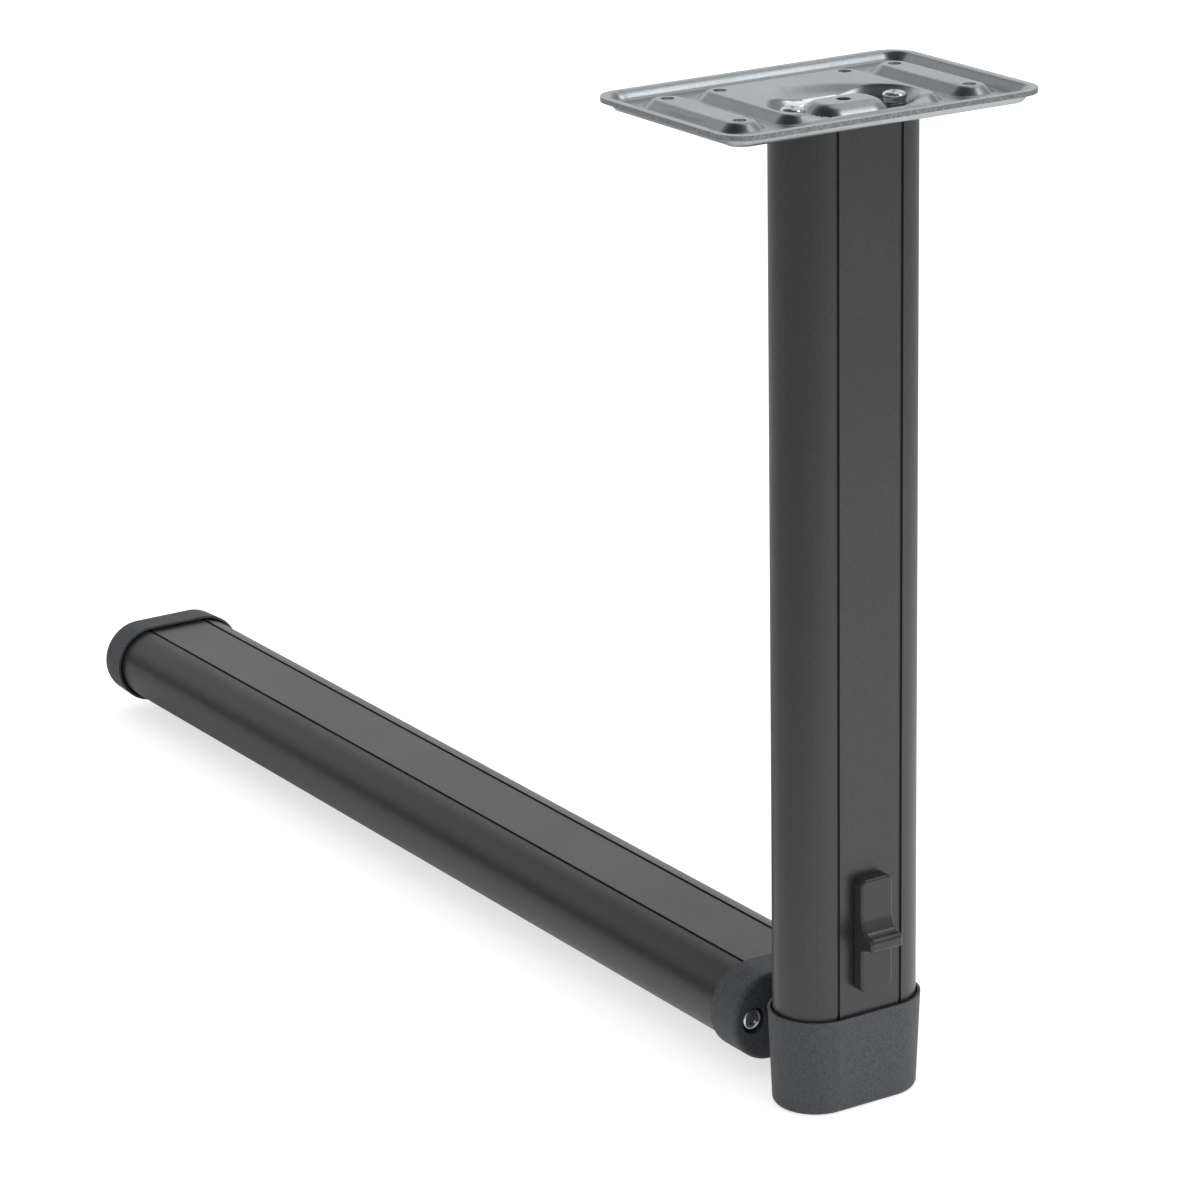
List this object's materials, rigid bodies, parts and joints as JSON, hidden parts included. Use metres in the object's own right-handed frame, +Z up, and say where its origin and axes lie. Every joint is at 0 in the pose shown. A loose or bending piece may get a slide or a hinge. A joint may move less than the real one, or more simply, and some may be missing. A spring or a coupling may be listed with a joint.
{
  "type": "folding support leg",
  "caption": "Two-part oval tube table leg with a pressed steel mounting plate, a lockable folding knee with a slider latch, and moulded end caps.",
  "frame": {"origin": "on the axis of the upper tube, in the plane of the knee cover's base", "axes": "+Z up along the upper tube to the table, +Y back along the folded lower half, +X to the right of someone who faces the latch's slider, which is on the -Y face"},
  "size_m": [0.116, 0.4926, 0.324],
  "materials": {
    "dark_anodised_tube": "satin",
    "zinc_plated_sheet": "satin",
    "bright_steel": "polished",
    "zinc_casting": "cast",
    "grey_plastic": "fine grain",
    "black_plastic": "satin",
    "pale_bearing_plastic": "plain"
  },
  "bodies": {
    "upper_half": {"mounting_plate": "zinc_plated_sheet", "upper_tube": "dark_anodised_tube", "hinge_fork": "zinc_casting", "knee_cover": "grey_plastic", "hinge_pin": "bright_steel", "latch_spring": "bright_steel", "plate_washer_left": "zinc_plated_sheet", "plate_washer_right": "zinc_plated_sheet", "plate_spring_washer_left": "bright_steel", "plate_spring_washer_right": "bright_steel", "plate_screw_left": "bright_steel", "plate_screw_right": "bright_steel", "fork_screw_left": "bright_steel", "fork_screw_right": "bright_steel"},
    "latch": {"latch_button": "black_plastic", "lock_bolt": "zinc_casting"},
    "lower_half": {"hinge_tongue": "zinc_casting", "knee_end_cap": "grey_plastic", "lower_tube": "dark_anodised_tube", "foot_cap": "grey_plastic", "bush_left": "pale_bearing_plastic", "bush_right": "pale_bearing_plastic", "tongue_screw_left": "bright_steel", "tongue_screw_right": "bright_steel"}
  },
  "joints": [
    {"name": "knee_fold", "type": "hinge", "parent": "upper_half", "child": "lower_half", "pos_m": [0, 0.0012, 0.0218], "axis": [-1, 0, 0], "range_deg": [0, 90]},
    {"name": "latch_slide", "type": "slide", "parent": "upper_half", "child": "latch", "axis": [0, 0, 1], "range_m": [0, 0.006], "stiffness_N_per_m": 600, "springref_m": -0.006, "deforming": ["latch_spring"]}
  ]
}
